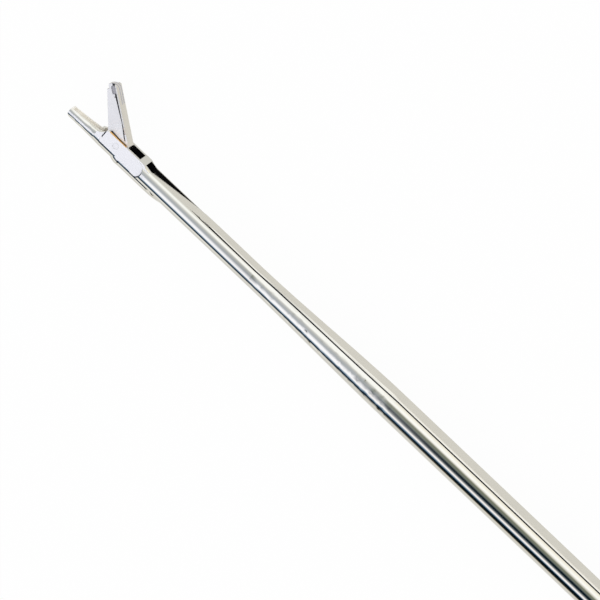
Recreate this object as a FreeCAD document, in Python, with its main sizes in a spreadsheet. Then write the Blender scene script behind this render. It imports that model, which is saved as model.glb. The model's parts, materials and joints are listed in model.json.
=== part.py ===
import FreeCAD, Part
import math
import os
import Sketcher

# Arthroscopic forceps with a sliding rod, at rest with its jaw open.
# The shaft lies along X with the jaws towards -X, the jaw opens towards +Y, and Z is the
# width. The origin is on the shaft's axis where the shaft enters the handle.

doc = FreeCAD.newDocument("arthroscopic_forceps")
sheet = doc.addObject("Spreadsheet::Sheet", "Dims")

# Driving dimensions in millimetres, and in degrees where the name says angle.
DIMENSIONS = {
    "working_length": 130.0,
    "shaft_radius": 2.0,
    "neck_radius": 1.5,
    "neck_drop": 0.2,
    "channel_half": 0.92,
    "channel_floor": 0.9,
    "rim_neck": 0.85,
    "rim_shaft": 1.44,
    "flare_start": 31.0,
    "flare_length": 24.0,
    "jaw_length": 5.4,
    "hinge_from_tip": 7.45,
    "hinge_height": 0.25,
    "head_half": 1.25,
    "head_top": 1.1,
    "head_drop": 0.55,
    "head_length": 6.6,
    "keel_drop": 0.8,
    "keel_from_tip": 7.3,
    "keel_length": 9.4,
    "slot_half": 0.88,
    "slot_floor": 1.45,
    "bridge_from_tip": 10.85,
    "bridge_length": 1.05,
    "bridge_thickness": 0.55,
    "runout_radius": 1.15,
    "basket_half": 0.46,
    "tip_radius": 0.82,
    "jaw_base_radius": 1.2,
    "jaw_rest_angle": 39.3,
    "jaw_closing_angle": 47.0,
    "jaw_reach": 7.85,
    "jaw_back": 1.64,
    "flange_half": 0.85,
    "flange_thickness": 0.34,
    "blade_half": 0.42,
    "hinge_pin_radius": 0.4,
    "drive_arm": 1.15,
    "drive_pin_radius": 0.25,
    "pin_clearance": 0.03,
    "slide_clearance": 0.05,
    "rod_shoulder_from_tip": 12.85,
    "rod_nose_top": 0.42,
    "rod_ramp_length": 11.0,
    "rod_top_neck": 1.08,
    "rod_top_shaft": 1.8,
    "tongue_half": 0.35,
    "face_x": 3.0,
    "block_length": 15.0,
    "handle_thickness": 8.0,
    "fork_gap": 3.7,
    "pivot_behind_block": 7.0,
    "pivot_drop": 4.6,
    "lever_arm": 5.0,
    "pivot_radius": 1.5,
    "bush_radius": 2.1,
    "hub_radius": 3.6,
    "washer_thickness": 0.3,
    "lever_drive_radius": 0.8,
    "finger_width": 1.4,
    "ring_bore": 11.5,
    "ring_width": 3.6,
    "finger_ring_x": 5.0,
    "finger_ring_drop": 58.0,
    "thumb_ring_x": 48.0,
    "thumb_ring_drop": 50.0,
    "ferrule_radius": 3.2,
    "ferrule_length": 9.0,
}

for row, (name, value) in enumerate(DIMENSIONS.items(), start=1):
    sheet.set(f"A{row}", name)
    sheet.set(f"B{row}", str(value))
    sheet.setAlias(f"B{row}", name)
doc.recompute()


def dim(name):
    """The value of one driving dimension."""
    return float(sheet.get(name))


# Places along the shaft, worked out from the driving dimensions.
TIP_X = -dim("working_length")
HEAD_X = TIP_X + dim("jaw_length")
HINGE_X = TIP_X + dim("hinge_from_tip")
HINGE_Y = dim("hinge_height")
HEAD_END = HEAD_X + dim("head_length")
BRIDGE_X = TIP_X + dim("bridge_from_tip")
BRIDGE_END = BRIDGE_X + dim("bridge_length")
KEEL_X = TIP_X + dim("keel_from_tip")
SHOULDER_X = TIP_X + dim("rod_shoulder_from_tip")
RAMP_END = SHOULDER_X + dim("rod_ramp_length")
FLARE_X = TIP_X + dim("flare_start")
FLARE_END = FLARE_X + dim("flare_length")
SHAFT_END = dim("block_length") - 1.0
PIVOT_X = dim("block_length") + dim("pivot_behind_block")
PIVOT_Y = -dim("pivot_drop")
CLOSING = math.radians(dim("jaw_closing_angle"))
STROKE = 2 * dim("drive_arm") * math.sin(CLOSING / 2)
LEVER_TRAVEL = STROKE / dim("lever_arm")
FAR = 400.0
XY, XZ, YZ = "XY_Plane", "XZ_Plane", "YZ_Plane"


def vec(x, y, z=0.0):
    return FreeCAD.Vector(x, y, z)


def line(start, end):
    return Part.LineSegment(vec(*start), vec(*end))


def arc(start, middle, end):
    return Part.Arc(vec(*start), vec(*middle), vec(*end))


def polygon(points):
    """Closed outline of straight lines through the points."""
    return [line(a, b) for a, b in zip(points, points[1:] + points[:1])]


def circle(x, y, radius):
    return Part.Circle(vec(x, y), vec(0, 0, 1), radius)


def rectangle(x0, y0, x1, y1):
    return polygon([(x0, y0), (x1, y0), (x1, y1), (x0, y1)])


def slot_outline(x, y_low, y_high, radius):
    """Upright slot with round ends, centred on x."""
    return [
        arc((x - radius, y_high), (x, y_high + radius), (x + radius, y_high)),
        line((x + radius, y_high), (x + radius, y_low)),
        arc((x + radius, y_low), (x, y_low - radius), (x - radius, y_low)),
        line((x - radius, y_low), (x - radius, y_high)),
    ]


def slot_along(x_low, x_high, y, radius):
    """Slot with round ends that lies along X."""
    return [
        arc((x_low, y + radius), (x_low - radius, y), (x_low, y - radius)),
        line((x_low, y - radius), (x_high, y - radius)),
        arc((x_high, y - radius), (x_high + radius, y), (x_high, y + radius)),
        line((x_high, y + radius), (x_low, y + radius)),
    ]


def new_body(label):
    body = doc.addObject("PartDesign::Body", label)
    body.Label = label
    return body


def plane_of(body, role):
    return next(f for f in body.Origin.OriginFeatures if f.Role == role)


def sketch(body, name, geometry, plane=XY, offset=0.0):
    """Sketch on one of the body's origin planes, moved along the plane's normal."""
    made = body.newObject("Sketcher::SketchObject", name)
    made.AttachmentSupport = [(plane_of(body, plane), "")]
    made.MapMode = "FlatFace"
    made.AttachmentOffset = FreeCAD.Placement(vec(0, 0, offset), FreeCAD.Rotation())
    for piece in geometry:
        made.addGeometry(piece, False)
    doc.recompute()
    return made


def pad(body, name, geometry, length, plane=XY, offset=0.0, midplane=True):
    """Pad an outline by a length, given as a number or as an expression."""
    made = body.newObject("PartDesign::Pad", name)
    made.Profile = sketch(body, name + "_sketch", geometry, plane, offset)
    set_length(made, length, midplane)
    doc.recompute()
    return made


def pocket(body, name, geometry, length, plane=XY, offset=0.0, midplane=True, flip=False):
    """Pocket an outline and make sure that it takes material away."""
    before = body.Shape.Volume
    made = body.newObject("PartDesign::Pocket", name)
    made.Profile = sketch(body, name + "_sketch", geometry, plane, offset)
    set_length(made, length, midplane)
    made.Reversed = flip
    doc.recompute()
    if not body.Shape.Volume < before - 1e-6:
        raise RuntimeError(f"{name} cuts nothing")
    return made


def set_length(feature, length, midplane):
    if isinstance(length, str):
        feature.setExpression("Length", length)
    else:
        feature.Length = length
    feature.Midplane = midplane


def revolve(body, name, geometry, axis_y, plane=XY):
    """Full turn of an outline about the line y = axis_y, parallel to X."""
    made = body.newObject("PartDesign::Revolution", name)
    profile = sketch(body, name + "_sketch", geometry, plane)
    axis = profile.addGeometry(line((-1, axis_y), (1, axis_y)), True)
    made.Profile = profile
    made.ReferenceAxis = (profile, [f"Axis{axis_index(profile, axis)}"])
    made.Angle = 360.0
    doc.recompute()
    return made


def axis_index(profile, geometry_id):
    """Number of a construction line among the sketch's construction lines."""
    lines = [i for i in range(profile.GeometryCount) if profile.getConstruction(i)]
    return lines.index(geometry_id)


def round_edges(body, name, radius, wanted):
    """Fillet the edges of the body's tip that the test accepts."""
    tip = body.Tip
    names = [f"Edge{i}" for i, edge in enumerate(tip.Shape.Edges, start=1) if wanted(edge)]
    if not names:
        raise RuntimeError(f"{name} finds no edge")
    made = body.newObject("PartDesign::Fillet", name)
    made.Base = (tip, names)
    made.Radius = radius
    doc.recompute()
    return made


def smoothstep(share):
    return share * share * (3 - 2 * share)


def shaft_section(share):
    """Expressions for the radius and the height of the bar at a share of the flare."""
    weight = smoothstep(share)
    radius = f"Dims.neck_radius + (Dims.shaft_radius - Dims.neck_radius) * {weight:.4f}"
    height = f"-Dims.neck_drop * {1 - weight:.4f}"
    return radius, height


def round_section(body, name, x, radius, height, seam_down=False):
    """Circle across the shaft whose radius and height follow expressions."""
    made = sketch(body, name, [circle(0, 0, 1.0)], YZ, x)
    if seam_down:
        turn = FreeCAD.Rotation(vec(0, 0, 1), 180)
        made.AttachmentOffset = FreeCAD.Placement(vec(0, 0, x), turn)
        height = f"-({height})"
    made.addConstraint(Sketcher.Constraint("Radius", 0, 1.0))
    made.addConstraint(Sketcher.Constraint("DistanceX", -1, 1, 0, 3, 0.0))
    made.addConstraint(Sketcher.Constraint("DistanceY", -1, 1, 0, 3, 0.0))
    made.setExpression("Constraints[0]", radius)
    made.setExpression("Constraints[1]", height)
    doc.recompute()
    return made


def bar(body, start, end, seam_down=False):
    """Round bar: a thin neck, a smooth flare and the full shaft behind it."""
    def section(name, x, share):
        return round_section(body, name, x, *shaft_section(share), seam_down)

    neck = body.newObject("PartDesign::AdditiveLoft", "neck")
    neck.Profile = section("neck_start", start, 0)
    neck.Sections = [section("neck_end", FLARE_X, 0)]
    neck.Ruled = True
    doc.recompute()
    flare = body.newObject("PartDesign::AdditiveLoft", "flare")
    shares = [step / 5 for step in range(6)]
    sections = []
    for share in shares:
        x = FLARE_X + share * (FLARE_END - FLARE_X)
        sections.append(section(f"flare_{int(share * 100)}", x, share))
    flare.Profile = sections[0]
    flare.Sections = sections[1:]
    doc.recompute()
    main = body.newObject("PartDesign::AdditiveLoft", "main")
    main.Profile = section("main_start", FLARE_END, 1)
    main.Sections = [section("main_end", end, 1)]
    main.Ruled = True
    doc.recompute()


def rim_line(start, end, lift=0.0):
    """Points of the channel's rim from start to end, raised by lift."""
    low = dim("rim_neck") + lift
    high = dim("rim_shaft") + lift
    return [(start, low), (FLARE_X, low), (FLARE_END, high), (end, high)]


def make_shaft():
    """Channel shaft with its slotted head and the lower jaw, in one piece."""
    body = new_body("fixed_shaft")
    half = dim("head_half")
    top = dim("head_top")
    bar(body, HEAD_END - 1.2, SHAFT_END)
    head = u_section(half + 0.02, top, -dim("head_drop"))
    pad(body, "head", head, BRIDGE_END + 0.9 - HEAD_X, YZ, HEAD_X, midplane=False)
    base = u_section(dim("jaw_base_radius"), top, -dim("head_drop"))
    pad(body, "jaw_base_block", base, 1.1, YZ, HEAD_X - 1.0, midplane=False)
    blend_head(body)
    add_keel(body, half)
    add_lower_jaw(body)
    cut_flats(body, half)
    cut_top(body)
    cut_channel(body)
    pin_holes(body)
    return body


def u_section(half, top, middle):
    """Section across the shaft with flat sides and a round underside, turned for the YZ plane."""
    return [
        line((middle, half), (top, half)),
        line((top, half), (top, -half)),
        line((top, -half), (middle, -half)),
        arc((middle, -half), (middle - half, 0), (middle, half)),
    ]


def add_keel(body, half):
    """Round keel under the head that swells below it, runs on under the neck and ramps out."""
    axis = -dim("keel_drop")
    start = KEEL_X
    end = KEEL_X + dim("keel_length")
    inner = half - 0.4
    outline = [
        line((start, axis), (start, axis - inner)),
        arc((start, axis - inner), (start + 0.7, axis - half + 0.06), (start + 1.7, axis - half)),
        line((start + 1.7, axis - half), (end - 3.0, axis - half)),
        arc((end - 3.0, axis - half), (end - 1.4, axis - half + 0.1), (end, axis - inner)),
        line((end, axis - inner), (end, axis)),
        line((end, axis), (start, axis)),
    ]
    revolve(body, "keel", outline, axis)


def blend_head(body):
    """Turned blend behind the bridge, from the head's corners down to the neck."""
    axis = -dim("neck_drop")
    low = axis + dim("neck_radius") + 0.02
    corner = axis + math.hypot(dim("head_half"), dim("head_top") - axis)
    start = BRIDGE_END - 0.1
    end = BRIDGE_END + 1.2
    outline = [
        arc((start, corner), (start + 0.5, low + 0.1), (end, low)),
        line((end, low), (end, axis + 3.0)),
        line((end, axis + 3.0), (start, axis + 3.0)),
        line((start, axis + 3.0), (start, corner)),
    ]
    before = body.Shape.Volume
    made = body.newObject("PartDesign::Groove", "head_blend")
    profile = sketch(body, "head_blend_sketch", outline)
    spin = profile.addGeometry(line((-1, axis), (1, axis)), True)
    made.Profile = profile
    made.ReferenceAxis = (profile, [f"Axis{axis_index(profile, spin)}"])
    made.Angle = 360.0
    doc.recompute()
    if not body.Shape.Volume < before - 1e-6:
        raise RuntimeError("head_blend cuts nothing")


def add_lower_jaw(body):
    """Round tapered jaw, planed on top, with a rounded nose and a basket slot."""
    bottom = 1.8
    tip = dim("tip_radius")
    base = dim("jaw_base_radius")
    jaw = body.newObject("PartDesign::AdditiveLoft", "jaw_bar")
    jaw.Profile = round_section(body, "jaw_tip", TIP_X, "Dims.tip_radius",
                                f"-({bottom} - Dims.tip_radius)")
    middle = round_section(body, "jaw_middle", TIP_X + 0.7 * dim("jaw_length"),
                           f"{tip} + ({base} - {tip}) * 0.35",
                           f"-({bottom} - ({tip} + ({base} - {tip}) * 0.35))")
    last = round_section(body, "jaw_base", HEAD_X + 0.3, "Dims.jaw_base_radius",
                         f"-({bottom + 0.05} - Dims.jaw_base_radius)")
    jaw.Sections = [middle, last]
    doc.recompute()
    # Nose: the underside rises to the tip in an arc.
    nose = [
        line((TIP_X - 0.5, -2.4), (TIP_X + 0.9, -2.4)),
        line((TIP_X + 0.9, -2.4), (TIP_X + 0.9, -bottom - 0.02)),
        arc((TIP_X + 0.9, -bottom - 0.02), (TIP_X + 0.25, -1.52), (TIP_X - 0.02, -0.9)),
        line((TIP_X - 0.02, -0.9), (TIP_X - 0.5, -0.9)),
        line((TIP_X - 0.5, -0.9), (TIP_X - 0.5, -2.4)),
    ]
    pocket(body, "nose", nose, 6.0)


def cut_flats(body, half):
    """Milled flats on both sides of the head, each with the cutter's round run-out."""
    reach = HEAD_END + 0.2
    radius = dim("runout_radius")
    middle = -0.25
    flat = [
        line((HEAD_X - 0.2, 3.0), (reach - radius, 3.0)),
        line((reach - radius, 3.0), (reach - radius, middle + radius)),
        arc((reach - radius, middle + radius), (reach, middle), (reach - radius, middle - radius)),
        line((reach - radius, middle - radius), (HEAD_X - 0.2, middle - radius)),
        line((HEAD_X - 0.2, middle - radius), (HEAD_X - 0.2, 3.0)),
    ]
    pocket(body, "near_flat", flat, 2.0, XY, half, midplane=False, flip=True)
    pocket(body, "far_flat", flat, 2.0, XY, -half, midplane=False)
    # A fine line undercuts the front of the ears on each side.
    under = rectangle(HEAD_X - 0.12, -0.12, HEAD_X, dim("head_top") + 1)
    depth = dim("head_half") - 0.1
    pocket(body, "near_undercut", under, 2.0, XY, depth, midplane=False, flip=True)
    pocket(body, "far_undercut", under, 2.0, XY, -depth, midplane=False)


def cut_top(body):
    """Planed top of the lower jaw, top of the head and rims of the channel."""
    plane_end = (TIP_X + 3.8, -0.08)
    above = 3.0
    jaw_top = [
        line((TIP_X - 0.5, -0.58), plane_end),
        arc(plane_end, (HEAD_X - 0.6, 0.2), (HEAD_X, 0.98)),
        line((HEAD_X, 0.98), (HEAD_X, above)),
        line((HEAD_X, above), (TIP_X - 0.5, above)),
        line((TIP_X - 0.5, above), (TIP_X - 0.5, -0.58)),
    ]
    pocket(body, "jaw_top", jaw_top, 8.0)
    top = dim("head_top")
    rims = [(BRIDGE_END, top)] + rim_line(BRIDGE_END + 1.2, SHAFT_END + 1)
    outline = rims + [(SHAFT_END + 1, above), (HEAD_X - 0.1, above), (HEAD_X - 0.1, top)]
    pocket(body, "rims", polygon(outline), 8.0)


def cut_channel(body):
    """Basket, slot for the jaw, gap behind the bridge and the rod's channel."""
    basket = dim("basket_half")
    floor = -dim("slot_floor")
    deep = [
        (TIP_X + 0.3, 2.5),
        (TIP_X + 0.3, -0.72),
        (HEAD_X + 0.4, -1.0),
        (HEAD_X + 0.4, 2.5),
    ]
    pocket(body, "basket", polygon(deep), 2 * basket)
    slot = [
        (HEAD_X - 0.6, 2.5),
        (HEAD_X - 0.6, -0.98),
        (HEAD_X + 0.5, floor),
        (BRIDGE_X - 0.6, floor),
        (BRIDGE_X - 0.6, -dim("channel_floor")),
        (BRIDGE_X, -dim("channel_floor")),
        (BRIDGE_X, 2.5),
    ]
    pocket(body, "jaw_slot", polygon(slot), "2 * Dims.slot_half")
    under = dim("head_top") - dim("bridge_thickness")
    tunnel = rectangle(BRIDGE_X - 0.1, -dim("channel_floor"), BRIDGE_END + 0.1, under)
    pocket(body, "bridge_tunnel", tunnel, "2 * Dims.slot_half")
    channel = rectangle(BRIDGE_END, -dim("channel_floor"), SHAFT_END + 1, 2.5)
    pocket(body, "channel", channel, "2 * Dims.channel_half")


def pin_holes(body):
    """Holes for the hinge pin, the retaining pin and the two handle pins."""
    pocket(body, "hinge_hole", [circle(HINGE_X, HINGE_Y, dim("hinge_pin_radius"))], 8.0)
    pocket(body, "retaining_hole", [circle(*RETAINING_AT, RETAINING_RADIUS)], 8.0)
    for number, x in enumerate(SHAFT_PIN_X, start=1):
        pocket(body, f"handle_pin_{number}", [circle(x, SHAFT_PIN_Y, SHAFT_PIN_RADIUS)], 8.0)


RETAINING_AT = (-22.0, 0.2)
RETAINING_RADIUS = 0.5
SHAFT_PIN_RADIUS = 0.6
SHAFT_PIN_Y = -(dim("shaft_radius") - 0.15)
SHAFT_PIN_X = (5.5, 11.0)


def make_upper_jaw():
    """T-section jaw, drawn with its back along local X and the hinge at the local origin."""
    body = new_body("upper_jaw")
    back = dim("jaw_back")
    reach = -dim("jaw_reach")
    heel = math.sqrt(back ** 2 - 1.266 ** 2)
    turn = math.radians(10.4)
    foot = (-1.266 * math.sin(turn), -1.266 * math.cos(turn))
    heel_front = (foot[0] - heel * math.cos(turn), foot[1] + heel * math.sin(turn))
    outline = [
        line((reach + 0.1, 0.137), heel_front),
        arc(heel_front, (back * 0.95, -back * math.sqrt(1 - 0.95 ** 2)), (0, back)),
        line((0, back), (reach + 0.85, back)),
        arc((reach + 0.85, back), (reach + 0.24, back - 0.26), (reach, back - 0.85)),
        line((reach, back - 0.85), (reach, 0.5)),
        line((reach, 0.5), (reach + 0.1, 0.137)),
    ]
    pad(body, "plate", outline, "2 * Dims.flange_half")
    # Both sides of the blade are cut back under the flange, less and less towards the hub.
    inner = dim("blade_half")
    outer = dim("flange_half")
    under = back - dim("flange_thickness")
    for name, side in (("near", -1), ("far", 1)):
        wedge = [
            (reach - 0.5, side * (outer + 0.3)),
            (reach - 0.5, side * inner),
            (-2.6, side * inner),
            (-0.85, side * outer),
            (-0.85, side * (outer + 0.3)),
        ]
        pocket(body, f"{name}_side", polygon(wedge), 6.0, XZ, -under, midplane=False, flip=True)
    shape_flange(body, back, under, outer)
    notch = rectangle(reach - 0.1, -0.2, reach + 0.65, 0.34)
    pocket(body, "tip_notch", notch, 4.0)
    scoop = slot_along(reach + 0.54, reach + 1.2, 0.88, 0.26)
    pocket(body, "near_scoop", scoop, 0.12, XY, inner, midplane=False)
    pocket(body, "far_scoop", scoop, 0.12, XY, -inner, midplane=False, flip=True)
    pocket(body, "dot", [circle(reach + 1.8, 0.87, 0.09)], 4.0)
    pocket(body, "hinge_bore", [circle(0, 0, dim("hinge_pin_radius") + dim("pin_clearance"))], 4.0)
    drive = drive_point_local()
    pocket(body, "drive_bore", [circle(*drive, dim("drive_pin_radius"))], 4.0)
    pocket(body, "tongue_gap", tongue_gap(), 2 * (dim("tongue_half") + 0.05))
    body.Placement = jaw_placement()
    doc.recompute()
    return body


def shape_flange(body, back, under, outer):
    """Wide chamfers along the back's edges, and sides that lean in below them."""
    for name, side in (("near", 1), ("far", -1)):
        chamfer = [
            (back, side * (outer - 0.3)),
            (back - 0.14, side * (outer + 0.05)),
            (back + 0.3, side * (outer + 0.05)),
            (back + 0.3, side * (outer - 0.3)),
        ]
        pocket(body, f"{name}_chamfer", polygon(chamfer), 9.0, YZ, 0.4, midplane=False)
        lean = [
            (back - 0.12, side * outer),
            (under - 0.02, side * (outer - 0.12)),
            (under - 0.02, side * (outer + 0.3)),
            (back - 0.12, side * (outer + 0.3)),
        ]
        pocket(body, f"{name}_lean", polygon(lean), 9.0, YZ, -1.2, midplane=False)


def tongue_gap():
    """Gap in the heel for the rod's tongue: it leaves a hub and follows the tongue at rest."""
    hub = HUB_IN_GAP
    rest = math.radians(dim("jaw_rest_angle"))
    front = -0.36
    front_top = -math.sqrt(hub ** 2 - front ** 2)
    touch = (hub * math.sin(rest), -hub * math.cos(rest))
    end = (touch[0] + 2.1 * math.cos(rest), touch[1] + 2.1 * math.sin(rest))
    return [
        arc((front, front_top), (0.0, -hub), touch),
        line(touch, end),
        line(end, (end[0], -2.4)),
        line((end[0], -2.4), (front, -2.4)),
        line((front, -2.4), (front, front_top)),
    ]


HUB_IN_GAP = 0.54


def jaw_placement():
    turn = FreeCAD.Rotation(vec(0, 0, 1), -dim("jaw_rest_angle"))
    return FreeCAD.Placement(vec(HINGE_X, HINGE_Y, 0), turn)


def drive_point_local():
    """The jaw's drive pin in the jaw's own frame."""
    angle = math.radians(dim("jaw_rest_angle")) - CLOSING / 2
    return dim("drive_arm") * math.sin(angle), -dim("drive_arm") * math.cos(angle)


def drive_point():
    """The jaw's drive pin at rest: half a stroke in front of the hinge."""
    return HINGE_X - STROKE / 2, HINGE_Y - dim("drive_arm") * math.cos(CLOSING / 2)


def make_rod():
    """Rod with a cap over the rims, a stem in the channel and a thin tongue to the jaw."""
    body = new_body("actuating_rod")
    gap = dim("slide_clearance")
    stem = dim("channel_half") - gap
    lift = 0.08
    bar(body, SHOULDER_X, ROD_END, seam_down=True)
    below = rim_line(SHOULDER_X - 1, ROD_END + 1, lift)
    outline = below + [(ROD_END + 1, -4), (SHOULDER_X - 1, -4)]
    pocket(body, "underside", polygon(outline), 8.0)
    stem_top = rim_line(SHOULDER_X, ROD_END, lift + 0.07)
    floor = -dim("channel_floor") + gap
    stem_side = [(ROD_END, floor), (SHOULDER_X, floor)] + stem_top
    pad(body, "stem", polygon(stem_side), 2 * stem)
    # The top is planed: low at the shoulder, level on the neck and higher on the shaft.
    top = [
        (SHOULDER_X - 1, dim("rod_nose_top")),
        (SHOULDER_X, dim("rod_nose_top")),
        (RAMP_END, dim("rod_top_neck")),
        (FLARE_X, dim("rod_top_neck")),
        (FLARE_END, dim("rod_top_shaft")),
        (ROD_END + 1, dim("rod_top_shaft")),
        (ROD_END + 1, 4),
        (SHOULDER_X - 1, 4),
    ]
    pocket(body, "planed_top", polygon(top), 8.0)
    drive = drive_point()
    tongue = rectangle(drive[0] + 0.3, -0.83, SHOULDER_X + 0.5, HINGE_Y - HUB_IN_GAP - 0.12)
    pad(body, "tongue", tongue, "2 * Dims.tongue_half")
    low = HINGE_Y - dim("drive_arm") - 0.02
    high = drive[1] + 0.02
    eye = slot_outline(drive[0], low, high, 0.42)
    pad(body, "eye", eye, "2 * Dims.tongue_half")
    window = slot_outline(drive[0], low, high, dim("drive_pin_radius") + dim("pin_clearance"))
    pocket(body, "eye_slot", window, 4.0)
    x, y = RETAINING_AT
    radius = RETAINING_RADIUS + 0.06
    pocket(body, "retaining_slot", slot_along(x - STROKE - 0.05, x + 0.05, y, radius), 4.0)
    spigot = rectangle(ROD_END - 0.5, -0.6, ROD_END + SPIGOT, 1.1)
    pad(body, "spigot", spigot, 1.2)
    for number, at in enumerate(ROD_PIN_X, start=1):
        pocket(body, f"rod_pin_{number}", [circle(at, ROD_PIN_Y, ROD_PIN_RADIUS)], 4.0)
    return body


ROD_END = dim("block_length") + 0.2
SPIGOT = 3.0
ROD_PIN_X = (ROD_END + 1.0, ROD_END + 2.2)
ROD_PIN_Y = 0.3
ROD_PIN_RADIUS = 0.3
DRIVE_Y = PIVOT_Y + dim("lever_arm")
DRIVE_X = PIVOT_X - STROKE / 2


def make_rod_end():
    """Forked block pinned on the rod, with an upright slot in each cheek."""
    body = new_body("rod_end")
    start = ROD_END + 0.05
    end = DRIVE_X + 1.9
    block = rectangle(start, -1.3, end, 1.9)
    pad(body, "block", block, 2.8)
    socket = rectangle(start - 0.1, -0.63, ROD_END + SPIGOT + 0.05, 1.13)
    pocket(body, "socket", socket, 1.26)
    fork = rectangle(ROD_END + SPIGOT + 0.6, -2, end + 0.1, 3)
    pocket(body, "fork", fork, dim("finger_width") + 0.1)
    lift = dim("lever_arm") * (1 - math.cos(LEVER_TRAVEL / 2))
    radius = dim("lever_drive_radius") + dim("pin_clearance")
    pocket(body, "drive_slot", slot_outline(DRIVE_X, DRIVE_Y - lift, DRIVE_Y + lift, radius), 8.0)
    for number, at in enumerate(ROD_PIN_X, start=1):
        pocket(body, f"pin_hole_{number}", [circle(at, ROD_PIN_Y, ROD_PIN_RADIUS)], 8.0)
    return body


def make_pin(label, x, y, radius, length):
    """Plain cylinder across the instrument."""
    body = new_body(label)
    pad(body, "round", [circle(x, y, radius)], length)
    return body


def make_pins(label, places, radius, length):
    """Group of equal pins, one solid each."""
    pins = []
    for number, (x, y) in enumerate(places, start=1):
        made = doc.addObject("Part::Cylinder", f"{label}_{number}")
        made.Radius = radius
        made.Height = length
        made.Placement = FreeCAD.Placement(vec(x, y, -length / 2), FreeCAD.Rotation())
        pins.append(made)
    group = doc.addObject("Part::Compound", label)
    group.Links = pins
    group.Label = label
    doc.recompute()
    return group


def make_ferrule():
    """Turned collar in front of the handle, tapering down to the shaft."""
    body = new_body("ferrule")
    bore = dim("shaft_radius") + 0.06
    outer = dim("ferrule_radius")
    length = dim("ferrule_length")
    face = dim("face_x") - 0.02
    outline = [
        line((-length, bore), (-length, bore + 0.45)),
        line((-length, bore + 0.45), (-length * 0.67, outer)),
        line((-length * 0.67, outer), (face, outer)),
        line((face, outer), (face, bore)),
        line((face, bore), (-length, bore)),
    ]
    revolve(body, "collar", outline, 0.0)
    return body


def ring(body, name, x, y, thickness):
    """Finger ring with a flat land inside and a rounded outside."""
    bore = dim("ring_bore")
    outer = bore + dim("ring_width")
    pad(body, name, [circle(x, y, outer)], thickness)
    return bore, outer


def is_rim(edge, height):
    """True for an edge that lies in the plane z = height or z = -height."""
    return all(abs(abs(v.Z) - height) < 1e-4 for v in edge.Vertexes) and \
        abs(abs(edge.CenterOfMass.z) - height) < 1e-4


def make_fixed_handle():
    """Handle body: a block for the shaft, a fork for the lever, a shank and the finger ring."""
    body = new_body("fixed_handle")
    thick = dim("handle_thickness")
    block_end = dim("block_length")
    ring_x = dim("finger_ring_x")
    ring_y = -dim("finger_ring_drop")
    cheek = 8.6
    low = PIVOT_Y - cheek
    top = 4.6
    face = dim("face_x")
    outline = [
        line((face, top), (PIVOT_X + 3.0, top)),
        arc((PIVOT_X + 3.0, top), (PIVOT_X + 7.2, top - 2.2), (PIVOT_X + cheek, PIVOT_Y)),
        arc((PIVOT_X + cheek, PIVOT_Y), (PIVOT_X + cheek * math.sin(0.785),
            PIVOT_Y - cheek * math.cos(0.785)), (PIVOT_X, low)),
        line((PIVOT_X, low), (block_end - 2, low)),
        line((block_end - 2, low), (ring_x + 4.6, ring_y + 14.0)),
        line((ring_x + 4.6, ring_y + 14.0), (ring_x - 3.4, ring_y + 14.0)),
        line((ring_x - 3.4, ring_y + 14.0), (face, low)),
        line((face, low), (face, top)),
    ]
    pad(body, "plate", outline, "Dims.handle_thickness")
    bore, outer = ring(body, "ring_disc", ring_x, ring_y, "Dims.handle_thickness")
    round_edges(body, "shank_roots", 5.0, lambda e: is_upright(e) and
                abs(math.hypot(e.CenterOfMass.x - ring_x, e.CenterOfMass.y - ring_y) - outer) < 0.2)
    round_edges(body, "shank_bends", 6.0, lambda e: is_upright(e) and
                abs(e.CenterOfMass.y - low) < 0.2 and e.CenterOfMass.x < block_end)
    pocket(body, "ring_bore", [circle(ring_x, ring_y, bore)], "Dims.handle_thickness + 1")
    fork = rectangle(block_end, low - 1, PIVOT_X + 20, 12)
    pocket(body, "fork", fork, "Dims.fork_gap")
    round_edges(body, "soft_edges", 1.5, lambda e: is_rim(e, thick / 2))
    pocket(body, "shaft_bore", [circle(0, 0, dim("shaft_radius") + 0.06)], block_end + 1,
           YZ, -0.5, midplane=False, flip=True)
    half = thick / 2
    pocket(body, "screw_hole", [circle(PIVOT_X, PIVOT_Y, dim("pivot_radius") + 0.02)], 12.0)
    pocket(body, "screw_seat", [circle(PIVOT_X, PIVOT_Y, SCREW_HEAD + 0.05)], 1.35, XY, half,
           midplane=False)
    for number, x in enumerate(SHAFT_PIN_X, start=1):
        pocket(body, f"shaft_pin_{number}", [circle(x, SHAFT_PIN_Y, SHAFT_PIN_RADIUS)], 12.0)
    return body


SCREW_HEAD = 2.8


def is_upright(edge):
    """True for a straight edge along Z."""
    if len(edge.Vertexes) != 2:
        return False
    first, second = (v.Point for v in edge.Vertexes)
    return abs(first.x - second.x) < 1e-6 and abs(first.y - second.y) < 1e-6


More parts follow.
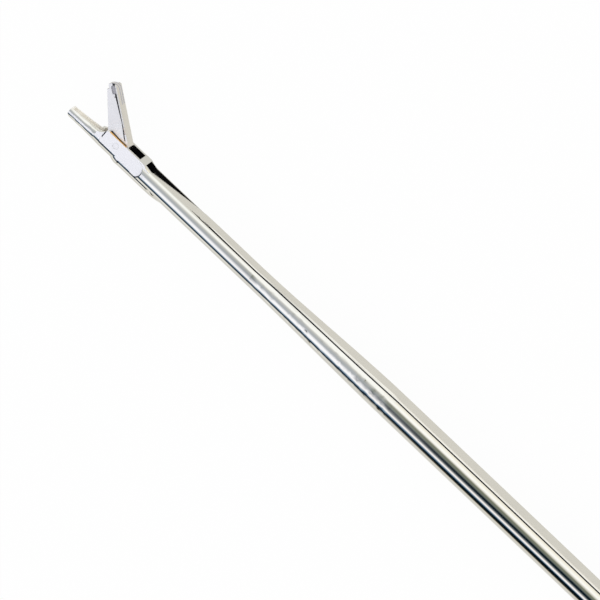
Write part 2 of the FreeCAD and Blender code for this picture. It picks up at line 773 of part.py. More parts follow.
def make_lever():
    """Thumb lever: a finger that pulls the rod, a hub, a shank and the thumb ring."""
    body = new_body("thumb_lever")
    thick = dim("handle_thickness")
    hub = dim("hub_radius")
    hub_half = (dim("fork_gap") - 2 * dim("washer_thickness") - 0.1) / 2
    ring_x = dim("thumb_ring_x")
    ring_y = -dim("thumb_ring_drop")
    reach = math.hypot(ring_x - PIVOT_X, ring_y - PIVOT_Y)
    along = ((ring_x - PIVOT_X) / reach, (ring_y - PIVOT_Y) / reach)
    across = (-along[1], along[0])

    def at(distance, side):
        return (PIVOT_X + along[0] * distance + across[0] * side,
                PIVOT_Y + along[1] * distance + across[1] * side)

    shank = [at(9.6, 4.4), at(9.6, -4.4), at(reach - 13.5, -3.6), at(reach - 13.5, 3.6)]
    pad(body, "shank", polygon(shank), "Dims.handle_thickness")
    bore, outer = ring(body, "ring_disc", ring_x, ring_y, "Dims.handle_thickness")
    round_edges(body, "shank_roots", 5.0, lambda e: is_upright(e) and
                abs(math.hypot(e.CenterOfMass.x - ring_x, e.CenterOfMass.y - ring_y) - outer) < 0.2)
    pocket(body, "ring_bore", [circle(ring_x, ring_y, bore)], "Dims.handle_thickness + 1")
    round_edges(body, "soft_edges", 1.5, lambda e: is_rim(e, thick / 2))
    pad(body, "hub", [circle(PIVOT_X, PIVOT_Y, hub)], 2 * hub_half)
    web = [at(0, 4.4), at(0, -4.4), at(12.0, -4.2), at(12.0, 4.2)]
    pad(body, "web", polygon(web), 2 * hub_half)
    finger = [
        (DRIVE_X - 1.3, PIVOT_Y + 1.0),
        (DRIVE_X + 1.5, PIVOT_Y + 1.0),
        (DRIVE_X + 1.2, DRIVE_Y + 0.6),
        (DRIVE_X + 0.6, DRIVE_Y + 1.2),
        (DRIVE_X - 0.6, DRIVE_Y + 1.2),
        (DRIVE_X - 1.2, DRIVE_Y + 0.6),
    ]
    pad(body, "finger", polygon(finger), "Dims.finger_width")
    # The hub is thinned around the rod end so that the rod end's cheeks pass it.
    for name, side in (("near", 1), ("far", -1)):
        relief = rectangle(PIVOT_X - 7, PIVOT_Y + dim("bush_radius") + 0.3, PIVOT_X + 7, 6.0)
        pocket(body, f"{name}_relief", relief, 3.0, XY, side * dim("finger_width") / 2,
               midplane=False, flip=side > 0)
    pocket(body, "bush_seat", [circle(PIVOT_X, PIVOT_Y, dim("bush_radius"))], 12.0)
    pocket(body, "drive_seat", [circle(DRIVE_X, DRIVE_Y, dim("lever_drive_radius"))], 12.0)
    return body


def make_bush():
    """Plain bush in the lever's hub."""
    body = new_body("pivot_bush")
    length = dim("fork_gap") - 2 * dim("washer_thickness") - 0.1
    pad(body, "sleeve", [circle(PIVOT_X, PIVOT_Y, dim("bush_radius")),
                         circle(PIVOT_X, PIVOT_Y, dim("pivot_radius") + dim("pin_clearance"))],
        length)
    return body


def make_screw():
    """Slotted pivot screw, its head sunk in the near cheek."""
    body = new_body("pivot_screw")
    half = dim("handle_thickness") / 2
    head_low = half - 1.3
    pad(body, "shank", [circle(PIVOT_X, PIVOT_Y, dim("pivot_radius"))], head_low + half - 0.2,
        XY, -half + 0.2, midplane=False)
    pad(body, "head", [circle(PIVOT_X, PIVOT_Y, SCREW_HEAD)], 1.15, XY, head_low, midplane=False)
    slot = rectangle(PIVOT_X - 4, PIVOT_Y - 0.35, PIVOT_X + 4, PIVOT_Y + 0.35)
    pocket(body, "driver_slot", slot, 0.8, XY, head_low + 1.15, midplane=False)
    return body


def make_washers():
    """Two thin washers between the lever's hub and the cheeks."""
    thick = dim("washer_thickness")
    gap = 0.02
    places = [dim("fork_gap") / 2 - thick - gap, -dim("fork_gap") / 2 + gap]
    rings = []
    for number, z in enumerate(places, start=1):
        outer = doc.addObject("Part::Cylinder", f"washer_outer_{number}")
        outer.Radius = 3.6
        inner = doc.addObject("Part::Cylinder", f"washer_inner_{number}")
        inner.Radius = dim("pivot_radius") + 0.1
        for disc in (outer, inner):
            disc.Height = thick
            disc.Placement = FreeCAD.Placement(vec(PIVOT_X, PIVOT_Y, z), FreeCAD.Rotation())
        cut = doc.addObject("Part::Cut", f"washer_{number}")
        cut.Base = outer
        cut.Tool = inner
        rings.append(cut)
    group = doc.addObject("Part::Compound", "thrust_washers")
    group.Links = rings
    group.Label = "thrust_washers"
    doc.recompute()
    return group


def make_all():
    drive = drive_point()
    head = 2 * dim("head_half") - 0.02
    shaft_width = 2 * dim("shaft_radius") - 0.1
    return [
        make_shaft(),
        make_upper_jaw(),
        make_rod(),
        make_pin("hinge_pin", HINGE_X, HINGE_Y, dim("hinge_pin_radius"), head),
        make_pin("jaw_drive_pin", *drive, dim("drive_pin_radius"), 2 * dim("flange_half") - 0.04),
        make_pin("rod_retaining_pin", *RETAINING_AT, RETAINING_RADIUS, shaft_width),
        make_ferrule(),
        make_fixed_handle(),
        make_pins("shaft_pins", [(x, SHAFT_PIN_Y) for x in SHAFT_PIN_X], SHAFT_PIN_RADIUS,
                  dim("handle_thickness") - 0.1),
        make_screw(),
        make_washers(),
        make_lever(),
        make_bush(),
        make_pin("lever_drive_pin", DRIVE_X, DRIVE_Y, dim("lever_drive_radius"), 2.7),
        make_rod_end(),
        make_pins("rod_end_pins", [(x, ROD_PIN_Y) for x in ROD_PIN_X], ROD_PIN_RADIUS, 2.7),
    ]


def check(parts):
    """Stop with a message if any object failed or any shape is unsound."""
    for thing in doc.Objects:
        if any(word in thing.State for word in ("Invalid", "Error")):
            raise RuntimeError(f"{thing.Name} failed: {thing.State}")
    for thing in parts:
        shape = thing.Shape
        if shape.isNull() or not shape.isValid():
            raise RuntimeError(f"{thing.Label} has no valid shape")
        print(thing.Label, len(shape.Solids), round(shape.Volume, 3))


def export(parts):
    os.makedirs("parts", exist_ok=True)
    for thing in parts:
        thing.Shape.exportStep(f"parts/{thing.Label}.step")


parts = make_all()
doc.recompute()
check(parts)
export(parts)
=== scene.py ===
import json
import math

import bpy
from mathutils import Matrix, Vector


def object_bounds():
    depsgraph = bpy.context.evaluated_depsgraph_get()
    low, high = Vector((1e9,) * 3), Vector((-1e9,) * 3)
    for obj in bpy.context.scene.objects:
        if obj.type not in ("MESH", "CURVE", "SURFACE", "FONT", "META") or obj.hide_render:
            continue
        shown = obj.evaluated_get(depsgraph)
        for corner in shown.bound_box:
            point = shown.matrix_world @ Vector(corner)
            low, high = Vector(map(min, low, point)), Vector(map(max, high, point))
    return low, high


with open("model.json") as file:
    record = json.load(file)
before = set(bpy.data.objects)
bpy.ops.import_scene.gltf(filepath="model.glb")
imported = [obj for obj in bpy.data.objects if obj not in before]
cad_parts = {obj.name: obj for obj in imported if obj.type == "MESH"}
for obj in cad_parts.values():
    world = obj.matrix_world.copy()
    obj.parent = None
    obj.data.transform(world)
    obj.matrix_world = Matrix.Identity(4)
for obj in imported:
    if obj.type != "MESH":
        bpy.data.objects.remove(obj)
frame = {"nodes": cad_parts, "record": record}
size_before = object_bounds()
nodes = frame["nodes"]
scene = bpy.context.scene

# X runs along the shaft from the jaws to the handle, +Y is the way the jaw opens, and +Z is up.
MM = 0.001
TIP_X = size_before[0].x

# The photograph's view. The instrument lies on its side and the camera looks down on it.
TILT = math.radians(27.0)
YAW = math.radians(3.0)
ROLL = math.radians(43.5)
TARGET_X = TIP_X + 37.4 * MM
TARGET_RISE = 1.58 * MM
DISTANCE = 500 * MM
FIELD = 75 * MM
SENSOR = 36.0
CLIP_NEAR = 0.01
CLIP_FAR = 10.0

# The floor, just under the instrument.
FLOOR_DROP = 0.3 * MM
FLOOR_SIZE = 3.0
FLOOR_GLOW = 0.95
FLOOR_PAINT = (0.9, 0.9, 0.9)
FLOOR_IN_METAL = (0.96, 0.94, 0.87)
WHITE = (1.0, 1.0, 1.0)

# The grinding of all the steel: fine lines, a cloudy polish and worn edges.
EDGE = 0.05 * MM
EDGE_SAMPLES = 4
STREAK_SCALE = 90.0
CLOUD_SCALE = 420.0
POLISH_SPREAD = 0.2
GRIND_DEPTH = 0.02 * MM
LINES_ALONG = (1, 40, 40)
LINES_ROUND = (40, 1, 1)

# The satin of the flats, whose near-white base is painted light. The slope towards Z tells a flat
# from a round side.
SATIN_METALLIC = 0.5
SATIN_ROUGHNESS = 0.42
SATIN_DARKEST = 0.95
FLAT_SLOPES = (0.985, 0.999)
JAW_SLOPES = (0.45, 0.6)
FLATS_TO = TIP_X + 13 * MM

# The jaw's hinge, and the crease and the scoop on the jaw's side, where shade is painted.
HINGE_X = TIP_X + 7.45 * MM
HINGE_Y = 0.25 * MM
JAW_ANGLE = math.radians(39.3)
JAW_ALONG = (math.cos(JAW_ANGLE), -math.sin(JAW_ANGLE), 0)
JAW_UP = (math.sin(JAW_ANGLE), math.cos(JAW_ANGLE), 0)
CREASE_LEAN = 0.04
CREASE_FROM = 1.17 * MM
CREASE_TO = 1.29 * MM
CREASE_HALF = 0.86 * MM
CREASE_END = -0.4 * MM
SCOOP_HALF = 0.405 * MM
SCOOP_DEPTH = 0.25 * MM
SCOOP_END = -5.0 * MM

# The cutter's round run-out at the end of the head's flats, where a dark line of shade is
# painted.
RUNOUT_X = HINGE_X + 3.6 * MM
RUNOUT_Y = -0.25 * MM
RUNOUT_FROM = 1.05 * MM
RUNOUT_TO = 1.16 * MM
RUNOUT_SWELL = -0.06
RUNOUT_DEPTH = 1.2 * MM
RUNOUT_START = RUNOUT_X + 0.6 * MM
RUNOUT_LOW = -1.15 * MM
RUNOUT_HIGH = 0.45 * MM

# The slot in the head and the basket in the lower jaw.
HEAD_X = HINGE_X - 2.05 * MM
SLOT_START = HEAD_X + 0.35 * MM
SLOT_HALF = 0.9 * MM
SLOT_FRONT = HEAD_X - 0.65 * MM
BASKET_HALF = 0.48 * MM
PLANED_SLOPE = 0.93
UNDERSIDE_SLOPE = -0.2

# The inside of the channel, on the shaft and on the rod, where near-black shade is painted.
CHANNEL_HALF = 0.965 * MM
CHANNEL_BOTTOM = -1.0 * MM
CHANNEL_DEEP = -0.3 * MM
CHANNEL_WALL = 0.8
ROD_DEEP = -0.05 * MM
ROD_WALL = 0.62

# The painted dark shade in the line under the rod's cap. It rises where the shaft flares.
FLARE_FROM = TIP_X + 31 * MM
FLARE_TO = FLARE_FROM + 24 * MM
GAP_SHADE_WIDTH = 0.045 * MM
CAP_LOW_NECK = 0.93 * MM + GAP_SHADE_WIDTH
CAP_LOW_SHAFT = 1.52 * MM + GAP_SHADE_WIDTH
GAP_SHADE_LOW = 0.8 * MM
GAP_SHADE_FROM = TIP_X + 23 * MM
GAP_SHADE_TO = 0.0

# Painted marks that fill a box: shade in the undercut at the ears' front, shade at the foot of
# the jaw's side, and a warm reflection on the near ear's edge.
UNDERCUT_BOX = ((HINGE_X - 2.2 * MM, -0.14 * MM, 0.9 * MM),
                (HINGE_X - 2.04 * MM, 1.0 * MM, 1.26 * MM))
BLADE_FOOT_BOX = ((HINGE_X - 1.9 * MM, 0.7 * MM, 0.3 * MM),
                  (HINGE_X + 1.0 * MM, 1.02 * MM, 0.6 * MM))
HEEL_FOOT_BOX = ((HINGE_X - 1.9 * MM, 0.9 * MM, 0.6 * MM),
                 (HINGE_X + 1.0 * MM, 1.2 * MM, 0.9 * MM))
REFLECTION_BOX = ((HINGE_X - 1.9 * MM, 1.0 * MM, 0.86 * MM),
            (HINGE_X + 1.1 * MM, 1.2 * MM, 1.24 * MM))

# The Mix node's sockets for a factor and two colours, and for what comes out.
MIX_FACTOR = 0
MIX_FIRST = 6
MIX_SECOND = 7
MIX_RESULT = 2


def rgba(colour):
    """Red, green and blue with a full alpha."""
    return (*colour, 1)


def new_tree(name):
    """A material with an empty node tree and its output node."""
    material = bpy.data.materials.new(name)
    material.use_nodes = True
    tree = material.node_tree
    tree.nodes.clear()
    out = tree.nodes.new("ShaderNodeOutputMaterial")
    return material, tree, out


def add(tree, kind, **inputs):
    """A node with the values of its inputs, given by name with _ for a space."""
    node = tree.nodes.new(kind)
    for name, value in inputs.items():
        node.inputs[name.replace("_", " ")].default_value = value
    return node


def calculate(tree, kind, *values):
    """Result of a math operation on sockets and numbers."""
    node = tree.nodes.new("ShaderNodeMath")
    node.operation = kind
    for socket, value in zip(node.inputs, values):
        if isinstance(value, (int, float)):
            socket.default_value = value
        else:
            tree.links.new(value, socket)
    return node.outputs[0]


def more(tree, value, least):
    """1 where the value is more than the least, else 0."""
    return calculate(tree, "GREATER_THAN", value, least)


def less(tree, value, most):
    """1 where the value is less than the most, else 0."""
    return calculate(tree, "LESS_THAN", value, most)


def size_of(tree, value):
    """The value without its sign."""
    return calculate(tree, "ABSOLUTE", value)


def all_of(tree, masks):
    """1 where all the masks are 1."""
    result = masks[0]
    for mask in masks[1:]:
        result = calculate(tree, "MULTIPLY", result, mask)
    return result


def any_of(tree, masks):
    """1 where one of the masks is 1."""
    result = masks[0]
    for mask in masks[1:]:
        result = calculate(tree, "MAXIMUM", result, mask)
    return result


def vector_step(tree, kind, vector, other):
    """Node of a vector operation on a socket and three numbers."""
    node = tree.nodes.new("ShaderNodeVectorMath")
    node.operation = kind
    tree.links.new(vector, node.inputs[0])
    node.inputs[1].default_value = other
    return node


def axes_of(tree, kind="Object"):
    """X, Y and Z of a point's place on its piece, or of the slope there for Normal."""
    coords = tree.nodes.new("ShaderNodeTexCoord")
    parts = tree.nodes.new("ShaderNodeSeparateXYZ")
    tree.links.new(coords.outputs[kind], parts.inputs["Vector"])
    return parts.outputs["X"], parts.outputs["Y"], parts.outputs["Z"]


def away_from(tree, x, y):
    """Way from a line across the instrument to a point on the piece."""
    coords = tree.nodes.new("ShaderNodeTexCoord")
    return vector_step(tree, "SUBTRACT", coords.outputs["Object"], (x, y, 0)).outputs["Vector"]


def inside_box(tree, low, high):
    """1 inside the box between two corners."""
    masks = []
    for place, least, most in zip(axes_of(tree), low, high):
        masks += [more(tree, place, least), less(tree, place, most)]
    return all_of(tree, masks)


def jaw_axes(tree):
    """Distances of a point from the hinge, along the open jaw and square to it."""
    away = away_from(tree, HINGE_X, HINGE_Y)
    return [vector_step(tree, "DOT_PRODUCT", away, way).outputs["Value"]
            for way in (JAW_ALONG, JAW_UP)]


def shade_under_back(tree):
    """1 where dark shade is painted in the crease where the blade meets the jaw's back, widest at
    the nose.
    """
    along, height = jaw_axes(tree)
    across = size_of(tree, axes_of(tree)[2])
    return all_of(tree, [
        more(tree, calculate(tree, "MULTIPLY_ADD", along, -CREASE_LEAN, height), CREASE_FROM),
        less(tree, height, CREASE_TO),
        less(tree, across, CREASE_HALF),
        more(tree, across, SCOOP_HALF),
        less(tree, along, CREASE_END),
    ])


def scoop_floor_shade(tree):
    """1 on the floor of the scoop near the jaw's nose, which lies below the blade's side, where
    darker shade is painted.
    """
    along = jaw_axes(tree)[0]
    across = size_of(tree, axes_of(tree)[2])
    return all_of(tree, [
        less(tree, across, SCOOP_HALF),
        more(tree, across, SCOOP_HALF - SCOOP_DEPTH),
        less(tree, along, SCOOP_END),
    ])


def jaw_foot_shade(tree):
    """1 on the foot of the jaw's side, just above the near ear, where dark shade is painted."""
    return any_of(tree, [inside_box(tree, *box) for box in (BLADE_FOOT_BOX, HEEL_FOOT_BOX)])


def runout_shade_line(tree):
    """1 on the cutter's round line at the end of the head's flats, where dark shade is painted.
    """
    away = away_from(tree, RUNOUT_X, RUNOUT_Y)
    flat = vector_step(tree, "MULTIPLY", away, (1, 1, 0)).outputs["Vector"]
    reach = tree.nodes.new("ShaderNodeVectorMath")
    reach.operation = "LENGTH"
    tree.links.new(flat, reach.inputs[0])
    radius = reach.outputs["Value"]
    x, y, z = axes_of(tree)
    return all_of(tree, [
        more(tree, calculate(tree, "MULTIPLY_ADD", y, RUNOUT_SWELL, radius), RUNOUT_FROM),
        less(tree, radius, RUNOUT_TO),
        more(tree, size_of(tree, z), RUNOUT_DEPTH),
        more(tree, x, RUNOUT_START),
        less(tree, y, RUNOUT_HIGH),
        more(tree, y, RUNOUT_LOW),
    ])


def head_shade_lines(tree):
    """1 on the head's painted lines of shade: the cutter's run-out and the undercut at the ears'
    front.
    """
    return any_of(tree, [runout_shade_line(tree), inside_box(tree, *UNDERCUT_BOX)])


def ear_edge_reflection(tree):
    """1 on the near ear's edge along the slot, where a warm reflection is painted."""
    return inside_box(tree, *REFLECTION_BOX)


def parting_line_shade(tree):
    """1 along the lower edges of the rod's cap, where dark shade is painted on the line to the
    channel.
    """
    x, y, _ = axes_of(tree)
    rise = add(tree, "ShaderNodeMapRange", From_Min=FLARE_FROM, From_Max=FLARE_TO,
               To_Min=CAP_LOW_NECK, To_Max=CAP_LOW_SHAFT)
    tree.links.new(x, rise.inputs["Value"])
    return all_of(tree, [
        less(tree, y, rise.outputs["Result"]),
        more(tree, y, GAP_SHADE_LOW),
        more(tree, x, GAP_SHADE_FROM),
        less(tree, x, GAP_SHADE_TO),
    ])


def basket_light(tree):
    """1 on the planed top and inside the cutting basket of the lower jaw, which are painted pale
    as light.
    """
    x, _, z = axes_of(tree)
    rise = axes_of(tree, "Normal")[1]
    across = size_of(tree, z)
    slot = all_of(tree, [less(tree, across, SLOT_HALF), more(tree, x, SLOT_FRONT)])
    return all_of(tree, [
        any_of(tree, [more(tree, rise, PLANED_SLOPE), less(tree, across, BASKET_HALF), slot]),
        more(tree, rise, UNDERSIDE_SLOPE),
        less(tree, x, SLOT_START),
    ])


def inner_mask(tree, deep_y, wall_slope):
    """1 on the walls and floors inside the channel, by place and by slope."""
    x, y, z = axes_of(tree)
    steep = size_of(tree, axes_of(tree, "Normal")[2])
    return all_of(tree, [
        less(tree, size_of(tree, z), CHANNEL_HALF),
        any_of(tree, [more(tree, steep, wall_slope), less(tree, y, deep_y)]),
        more(tree, x, SLOT_START),
        more(tree, y, CHANNEL_BOTTOM),
    ])


def channel_shade(tree):
    """1 on the shaft's inside, where near-black shade is painted."""
    return inner_mask(tree, CHANNEL_DEEP, CHANNEL_WALL)


def stem_shade(tree):
    """1 on the rod's stem inside the channel, where near-black shade is painted."""
    return inner_mask(tree, ROD_DEEP, ROD_WALL)


def worn_edges(tree):
    """Direction of the surface with its edges rounded."""
    edge = add(tree, "ShaderNodeBevel", Radius=EDGE)
    edge.samples = EDGE_SAMPLES
    return edge.outputs["Normal"]


def flat_mask(tree, slope_from, slope_to):
    """1 on the flat sides ground square to Z, by the slope of the surface."""
    turned = tree.nodes.new("ShaderNodeVectorTransform")
    turned.vector_type = "NORMAL"
    turned.convert_from = "WORLD"
    turned.convert_to = "OBJECT"
    tree.links.new(worn_edges(tree), turned.inputs["Vector"])
    slope = tree.nodes.new("ShaderNodeSeparateXYZ")
    tree.links.new(turned.outputs["Vector"], slope.inputs["Vector"])
    soft = add(tree, "ShaderNodeMapRange", From_Min=slope_from, From_Max=slope_to)
    tree.links.new(size_of(tree, slope.outputs["Z"]), soft.inputs["Value"])
    return soft.outputs["Result"]


def blend(tree, factor, first, second):
    """Colour between two, each a socket or red, green and blue."""
    node = tree.nodes.new("ShaderNodeMix")
    node.data_type = "RGBA"
    tree.links.new(factor, node.inputs[MIX_FACTOR])
    for socket, colour in ((MIX_FIRST, first), (MIX_SECOND, second)):
        if isinstance(colour, tuple):
            node.inputs[socket].default_value = rgba(colour)
        else:
            tree.links.new(colour, node.inputs[socket])
    return node.outputs[MIX_RESULT]


def cover(tree, surface, mask, coat):
    """The surface, with the coat over it where the mask is 1."""
    mix = tree.nodes.new("ShaderNodeMixShader")
    tree.links.new(mask, mix.inputs["Fac"])
    tree.links.new(surface, mix.inputs[1])
    tree.links.new(coat, mix.inputs[2])
    return mix.outputs["Shader"]


def paint(tree, colour, roughness, metallic=0.0, specular=0.5):
    """Plain coat for a small painted mark of light and shade."""
    coat = add(tree, "ShaderNodeBsdfPrincipled", Base_Color=rgba(colour), Roughness=roughness,
               Metallic=metallic, Specular_IOR_Level=specular)
    return coat.outputs["BSDF"]


def satin_and_light_coat(tree, colour, streaks, bump):
    """Satin for the flats, with a near-white base that is painted light, and with the same
    grinding lines as the steel under it.
    """
    satin_and_light = add(tree, "ShaderNodeBsdfPrincipled", Metallic=SATIN_METALLIC,
                Roughness=SATIN_ROUGHNESS)
    darkest = tuple(part * SATIN_DARKEST for part in colour)
    tree.links.new(blend(tree, streaks, darkest, colour), satin_and_light.inputs["Base Color"])
    tree.links.new(bump, satin_and_light.inputs["Normal"])
    return satin_and_light.outputs["BSDF"]


def steel(name, colour, roughness, lines, grain=0.05, way=LINES_ALONG, satin_and_light=None,
          slopes=FLAT_SLOPES, flats_to=None, marks=()):
    """Ground metal: fine lines along one way, cloudy polish, small changes of tone, and marks of
    painted light and shade.
    """
    material, tree, out = new_tree(name)
    link = tree.links.new
    coords = tree.nodes.new("ShaderNodeTexCoord")
    stretch = add(tree, "ShaderNodeMapping", Scale=way)
    link(coords.outputs["Object"], stretch.inputs["Vector"])
    streaks = add(tree, "ShaderNodeTexNoise", Scale=STREAK_SCALE, Detail=6.0, Roughness=0.6)
    link(stretch.outputs["Vector"], streaks.inputs["Vector"])
    clouds = add(tree, "ShaderNodeTexNoise", Scale=CLOUD_SCALE, Detail=4.0, Roughness=0.5)
    link(coords.outputs["Object"], clouds.inputs["Vector"])
    low = tuple(part * (1 - grain) for part in colour)
    high = tuple(min(1, part * (1 + grain)) for part in colour)
    polish = add(tree, "ShaderNodeMapRange", To_Min=roughness * (1 - POLISH_SPREAD),
                 To_Max=roughness * (1 + POLISH_SPREAD))
    link(clouds.outputs["Fac"], polish.inputs["Value"])
    bump = add(tree, "ShaderNodeBump", Strength=lines, Distance=GRIND_DEPTH)
    link(streaks.outputs["Fac"], bump.inputs["Height"])
    link(worn_edges(tree), bump.inputs["Normal"])
    shader = add(tree, "ShaderNodeBsdfPrincipled", Metallic=1.0)
    link(blend(tree, clouds.outputs["Fac"], low, high), shader.inputs["Base Color"])
    link(polish.outputs["Result"], shader.inputs["Roughness"])
    link(bump.outputs["Normal"], shader.inputs["Normal"])
    surface = shader.outputs["BSDF"]
    if satin_and_light:
        flat = flat_mask(tree, *slopes)
        if flats_to is not None:
            flat = all_of(tree, [flat, less(tree, axes_of(tree)[0], flats_to)])
        coat = satin_and_light_coat(tree, satin_and_light, streaks.outputs["Fac"], bump.outputs["Normal"])
        surface = cover(tree, surface, flat, coat)
    for mask, look in marks:
        surface = cover(tree, surface, mask(tree), paint(tree, *look))
    link(surface, out.inputs["Surface"])
    return material


# The looks of the painted marks of light and shade: colour, roughness, and for some how metallic
# and how shiny.
# painted near-black shade in the crease under the jaw's back
CREASE_SHADE = ((0.006, 0.008, 0.012), 0.6)
# painted shade on the scoop's floor
SCOOP_SHADE = ((0.42, 0.42, 0.47), 0.6)
# painted dark shade for thin lines: the head's run-out and undercut, the foot of the jaw's side
# and the rod's parting line
SHADE_LINE = ((0.02, 0.03, 0.05), 0.5)
# painted warm orange reflection on the near ear's edge
WARM_REFLECTION = ((0.95, 0.55, 0.16), 0.3, 0.8)
# pale painted light on the lower jaw's planed top and basket
BASKET_LIGHT = ((0.93, 0.90, 0.83), 0.5)
# near-black painted shade inside the channel
CHANNEL_SHADE = ((0.002, 0.002, 0.003), 0.9, 0.0, 0.1)

# Each slot's steel: colour, roughness and how strong its grinding lines are.
MATERIALS = {
    "satin_steel": steel("satin_steel_look", (0.62, 0.62, 0.61), 0.06, 0.04, grain=0.03,
                         satin_and_light=(0.88, 0.88, 0.93), flats_to=FLATS_TO,
                         marks=((head_shade_lines, SHADE_LINE), (ear_edge_reflection, WARM_REFLECTION),
                                (basket_light, BASKET_LIGHT), (channel_shade, CHANNEL_SHADE))),
    "jaw_steel": steel("jaw_steel_look", (0.66, 0.64, 0.61), 0.20, 0.1,
                       satin_and_light=(0.80, 0.80, 0.84), slopes=JAW_SLOPES,
                       marks=((shade_under_back, CREASE_SHADE), (scoop_floor_shade, SCOOP_SHADE), (jaw_foot_shade, SHADE_LINE))),
    "rod_steel": steel("rod_steel_look", (0.66, 0.65, 0.62), 0.16, 0.08,
                       marks=((parting_line_shade, SHADE_LINE), (stem_shade, CHANNEL_SHADE))),
    "pin_steel": steel("pin_steel_look", (0.60, 0.60, 0.60), 0.18, 0.1,
                       satin_and_light=(0.86, 0.86, 0.91)),
    "ferrule_steel": steel("ferrule_steel_look", (0.60, 0.59, 0.58), 0.22, 0.3, way=LINES_ROUND),
    "handle_steel": steel("handle_steel_look", (0.60, 0.60, 0.60), 0.28, 0.2),
    "screw_steel": steel("screw_steel_look", (0.58, 0.58, 0.59), 0.20, 0.1),
    "washer_brass": steel("washer_brass_look", (0.70, 0.52, 0.26), 0.25, 0.1),
}

for part in frame["record"]["subparts"]:
    mesh = nodes[part["node"]].data
    mesh.materials.clear()
    mesh.materials.append(MATERIALS[part["material_slot"]])


def make_floor():
    """Pale floor: white to the camera, a warm white in the metal, with a faint shadow."""
    low = size_before[0].z - FLOOR_DROP
    bpy.ops.mesh.primitive_plane_add(size=FLOOR_SIZE, location=(TARGET_X, 0, low))
    floor = bpy.context.object
    floor.name = "floor"
    material, tree, out = new_tree("floor_white")
    surface = add(tree, "ShaderNodeBsdfDiffuse", Color=rgba(FLOOR_PAINT)).outputs["BSDF"]
    path = tree.nodes.new("ShaderNodeLightPath")
    for ray, colour in (("Is Camera Ray", WHITE), ("Is Glossy Ray", FLOOR_IN_METAL)):
        glow = add(tree, "ShaderNodeEmission", Color=rgba(colour), Strength=1.0)
        share = calculate(tree, "MULTIPLY", path.outputs[ray], FLOOR_GLOW)
        surface = cover(tree, surface, share, glow.outputs["Emission"])
    tree.links.new(surface, out.inputs["Surface"])
    floor.data.materials.append(material)


# Tones that polished metal mirrors: degrees round the X axis from +Z towards +Y, and the light
# there. One set is for light from ahead of the jaws, which the neck mirrors, one from the side.
SIDE_STOPS = [
    (-130, (1.1, 1.05, 1.0)), (-100, (1.25, 1.2, 1.05)), (-88, (1.15, 1.05, 0.85)),
    (-79, (0.06, 0.06, 0.05)), (-70, (0.0, 0.005, 0.01)), (-60, (0.0, 0.01, 0.02)),
    (-53, (0.04, 0.12, 0.23)), (-46, (0.4, 0.53, 0.65)), (-39, (1.5, 1.45, 1.45)),
    (-33, (1.5, 1.4, 1.35)), (-26, (0.55, 0.55, 0.55)), (-19, (0.07, 0.1, 0.12)),
    (-13, (0.0, 0.01, 0.02)), (-5, (0.0, 0.01, 0.02)), (3, (0.2, 0.23, 0.21)),
    (9, (0.3, 0.32, 0.24)), (16, (0.22, 0.24, 0.17)), (24, (0.5, 0.5, 0.4)),
    (31, (1.4, 1.35, 1.25)), (38, (1.6, 1.6, 1.55)), (50, (1.5, 1.45, 1.3)),
    (60, (1.25, 1.15, 0.9)), (71, (1.0, 0.97, 0.9)), (79, (1.55, 1.55, 1.5)),
    (87, (1.3, 1.25, 1.15)), (105, (1.0, 0.98, 0.94)),
]
AHEAD_STOPS = [
    (-130, (1.2, 1.17, 1.1)), (-89, (1.35, 1.3, 1.2)), (-75, (1.2, 1.2, 1.1)),
    (-69, (0.05, 0.07, 0.1)), (-57, (0.0, 0.02, 0.06)), (-49, (0.35, 0.5, 0.65)),
    (-38, (1.55, 1.55, 1.6)), (-22, (1.55, 1.55, 1.6)), (-13, (1.15, 1.15, 1.2)),
    (-4, (0.66, 0.7, 0.74)), (6, (0.66, 0.7, 0.72)), (15, (0.74, 0.75, 0.74)),
    (25, (0.97, 0.97, 0.92)), (34, (1.5, 1.5, 1.42)), (46, (1.55, 1.55, 1.5)),
    (56, (1.1, 1.08, 0.95)), (70, (1.0, 0.97, 0.9)), (80, (1.4, 1.4, 1.35)),
    (105, (1.0, 1.0, 0.97)),
]
WORLD_TOP = 2.0
AHEAD_X = -0.085
SIDE_X = 0.0


def tone_ramp(tree, stops, turn):
    """Colour of the stops, given in degrees over the full turn."""
    ramp = tree.nodes.new("ShaderNodeValToRGB")
    elements = ramp.color_ramp.elements
    elements.remove(elements[-1])
    for number, (degrees, level) in enumerate(stops):
        place = (degrees + 180) / 360
        spot = elements[0] if number == 0 else elements.new(place)
        spot.position = place
        spot.color = rgba(part / WORLD_TOP for part in level)
    tree.links.new(turn, ramp.inputs["Fac"])
    return ramp.outputs["Color"]


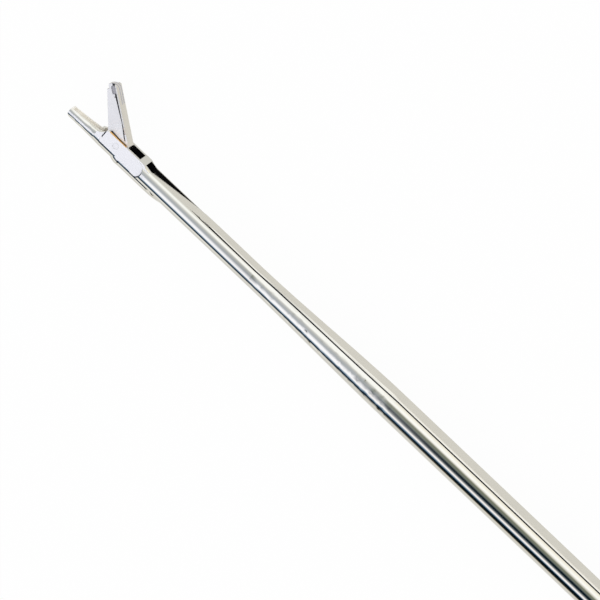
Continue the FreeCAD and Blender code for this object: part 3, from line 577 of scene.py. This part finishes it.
def make_world():
    """Soft studio light: even for plain surfaces, in bands round the shaft for polished ones."""
    world = bpy.data.worlds.new("studio")
    scene.world = world
    world.use_nodes = True
    tree = world.node_tree
    tree.nodes.clear()
    link = tree.links.new
    out = tree.nodes.new("ShaderNodeOutputWorld")
    x, y, z = axes_of(tree, "Generated")
    turn = add(tree, "ShaderNodeMapRange", From_Min=-math.pi, From_Max=math.pi)
    link(calculate(tree, "ARCTAN2", y, z), turn.inputs["Value"])
    ahead, side = [tone_ramp(tree, stops, turn.outputs["Result"])
                   for stops in (AHEAD_STOPS, SIDE_STOPS)]
    share = add(tree, "ShaderNodeMapRange", From_Min=AHEAD_X, From_Max=SIDE_X)
    link(x, share.inputs["Value"])
    bands = add(tree, "ShaderNodeBackground", Strength=WORLD_TOP)
    link(blend(tree, share.outputs["Result"], ahead, side), bands.inputs["Color"])
    even = add(tree, "ShaderNodeBackground", Color=rgba(WHITE), Strength=1.0)
    path = tree.nodes.new("ShaderNodeLightPath")
    light = cover(tree, even.outputs["Background"], path.outputs["Is Glossy Ray"],
                  bands.outputs["Background"])
    link(light, out.inputs["Surface"])


def make_camera():
    """Camera at the photograph's place, looking down on the jaws' end."""
    aside = math.sin(YAW)
    along = Vector((math.cos(YAW), -aside * math.sin(TILT), -aside * math.cos(TILT)))
    rise = Vector((0, math.cos(TILT), -math.sin(TILT)))
    back = along.cross(rise).normalized()
    right = along * math.cos(ROLL) + rise * math.sin(ROLL)
    up = back.cross(right).normalized()
    data = bpy.data.cameras.new("camera")
    camera = bpy.data.objects.new("camera", data)
    scene.collection.objects.link(camera)
    data.sensor_width = SENSOR
    data.lens = SENSOR * DISTANCE / FIELD
    data.clip_start = CLIP_NEAR
    data.clip_end = CLIP_FAR
    target = Vector((TARGET_X, 0, 0)) + rise * TARGET_RISE
    turn = Matrix((right, up, back)).transposed().to_4x4()
    camera.matrix_world = Matrix.Translation(target + back * DISTANCE) @ turn
    scene.camera = camera


make_floor()
make_world()
make_camera()
scene.view_settings.view_transform = "Standard"
